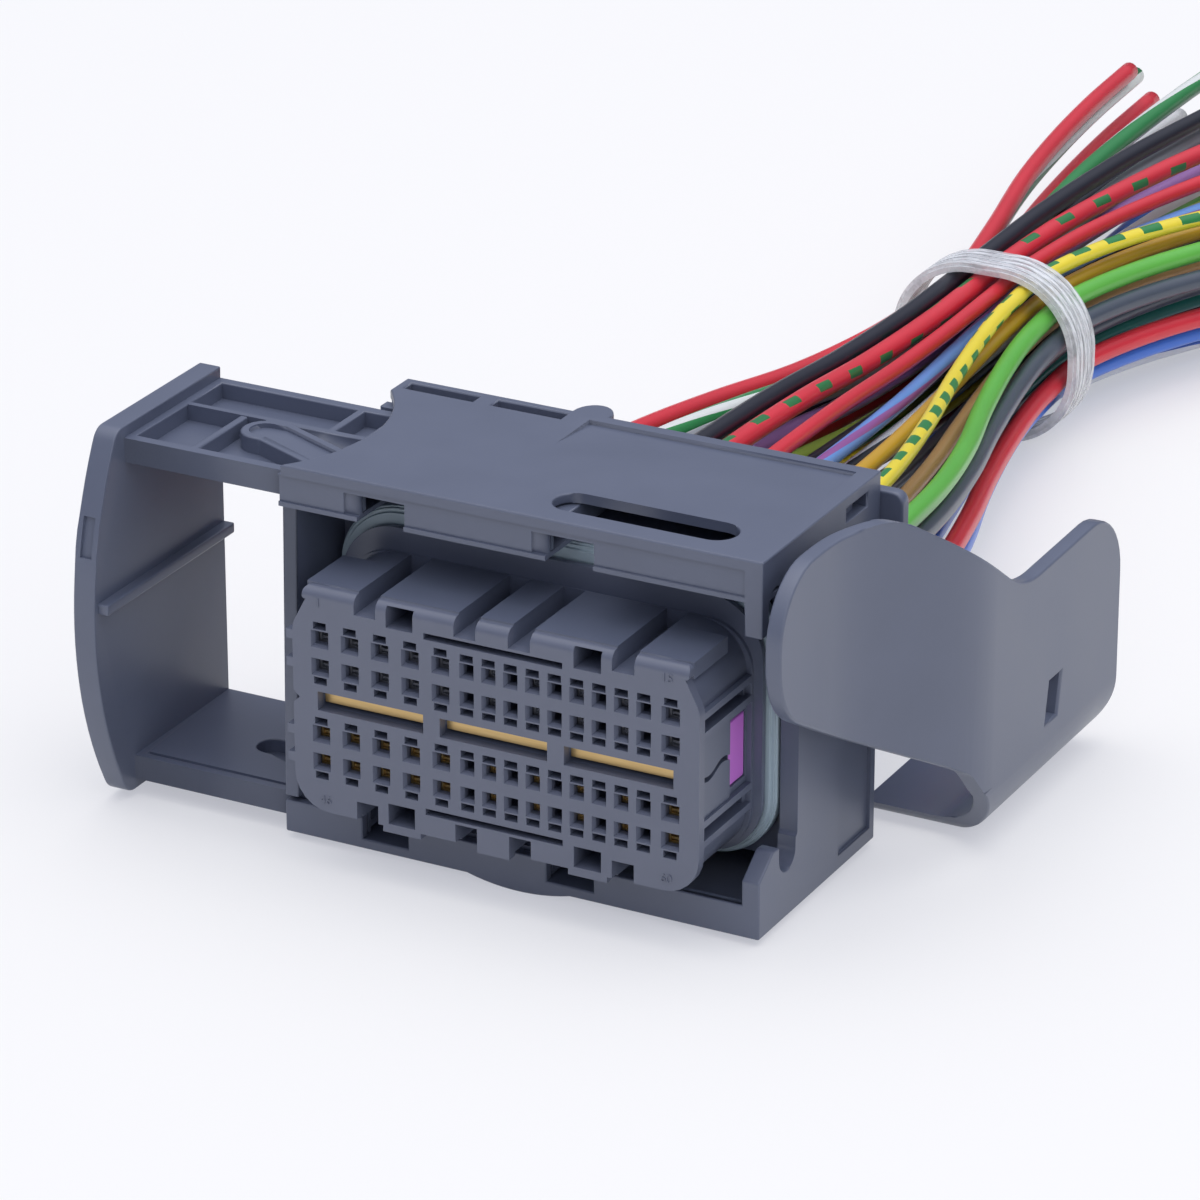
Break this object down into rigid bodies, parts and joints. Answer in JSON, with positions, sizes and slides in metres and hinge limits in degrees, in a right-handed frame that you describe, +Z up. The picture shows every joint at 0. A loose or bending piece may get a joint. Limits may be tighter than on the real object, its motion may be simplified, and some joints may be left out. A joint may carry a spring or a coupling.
{
  "type": "engine control unit connector",
  "caption": "Sealed rectangular harness plug with a moulded contact face, a sliding cam lock, a curved cable guide and a tied pigtail of coloured wires.",
  "frame": {"origin": "centre of the mating face of the front grid", "axes": "-Y out of the mating face towards the control unit, +Z up, +X towards the cable guide"},
  "size_m": [0.1036, 0.2513, 0.0421],
  "materials": {
    "housing_nylon": "fine moulded",
    "grid_nylon": "fine moulded",
    "lock_plastic": "smooth",
    "seal_silicone": "satin",
    "mat_silicone": "satin",
    "brass": "stamped",
    "tinned_contact": "stamped",
    "band_film": "clear",
    "wire_red": "smooth extruded",
    "wire_grey": "smooth extruded",
    "wire_black": "smooth extruded",
    "wire_white": "smooth extruded",
    "wire_light_blue": "smooth extruded",
    "wire_yellow": "smooth extruded",
    "wire_green": "smooth extruded",
    "wire_lilac": "smooth extruded",
    "wire_olive": "smooth extruded",
    "wire_mustard": "smooth extruded",
    "wire_tan": "smooth extruded",
    "wire_slate": "smooth extruded",
    "wire_blue": "smooth extruded",
    "wire_teal": "smooth extruded",
    "wire_maroon": "smooth extruded",
    "wire_navy": "smooth extruded"
  },
  "bodies": {
    "root": {"outer_shell": "housing_nylon", "contact_block": "housing_nylon", "rear_retainer": "housing_nylon", "cable_guide": "housing_nylon", "front_grid": "grid_nylon", "interface_seal": "seal_silicone", "cavity_plugs": "seal_silicone", "wire_seal_mat": "mat_silicone", "shorting_bar_left": "brass", "shorting_bar_middle": "brass", "shorting_bar_right": "brass", "terminals_wide": "tinned_contact", "terminals_narrow": "tinned_contact", "wire_band": "band_film", "wire_01": "wire_red", "wire_02": "wire_green", "wire_03": "wire_grey", "wire_04": "wire_black", "wire_05": "wire_red", "wire_06": "wire_red", "wire_07": "wire_light_blue", "wire_08": "wire_mustard", "wire_09": "wire_yellow", "wire_10": "wire_green", "wire_11": "wire_white", "wire_12": "wire_white", "wire_13": "wire_black", "wire_14": "wire_lilac", "wire_15": "wire_olive", "wire_16": "wire_black", "wire_17": "wire_white", "wire_18": "wire_black", "wire_19": "wire_tan", "wire_20": "wire_slate", "wire_21": "wire_red", "wire_22": "wire_black", "wire_23": "wire_red", "wire_24": "wire_green", "wire_25": "wire_yellow", "wire_26": "wire_grey", "wire_27": "wire_blue", "wire_28": "wire_teal", "wire_29": "wire_slate", "wire_30": "wire_red", "wire_31": "wire_black", "wire_32": "wire_blue", "wire_33": "wire_white", "wire_34": "wire_maroon", "wire_35": "wire_tan", "wire_36": "wire_green", "wire_37": "wire_navy", "wire_38": "wire_black", "wire_39": "wire_white", "wire_40": "wire_blue"},
    "slide": {"locking_slide": "housing_nylon"},
    "lock": {"secondary_lock": "lock_plastic"}
  },
  "joints": [
    {"name": "slide_travel", "type": "slide", "parent": "root", "child": "slide", "axis": [1, 0, 0], "range_m": [0, 0.0173]},
    {"name": "lock_release", "type": "slide", "parent": "root", "child": "lock", "axis": [1, 0, 0], "range_m": [0, 0.002]}
  ]
}
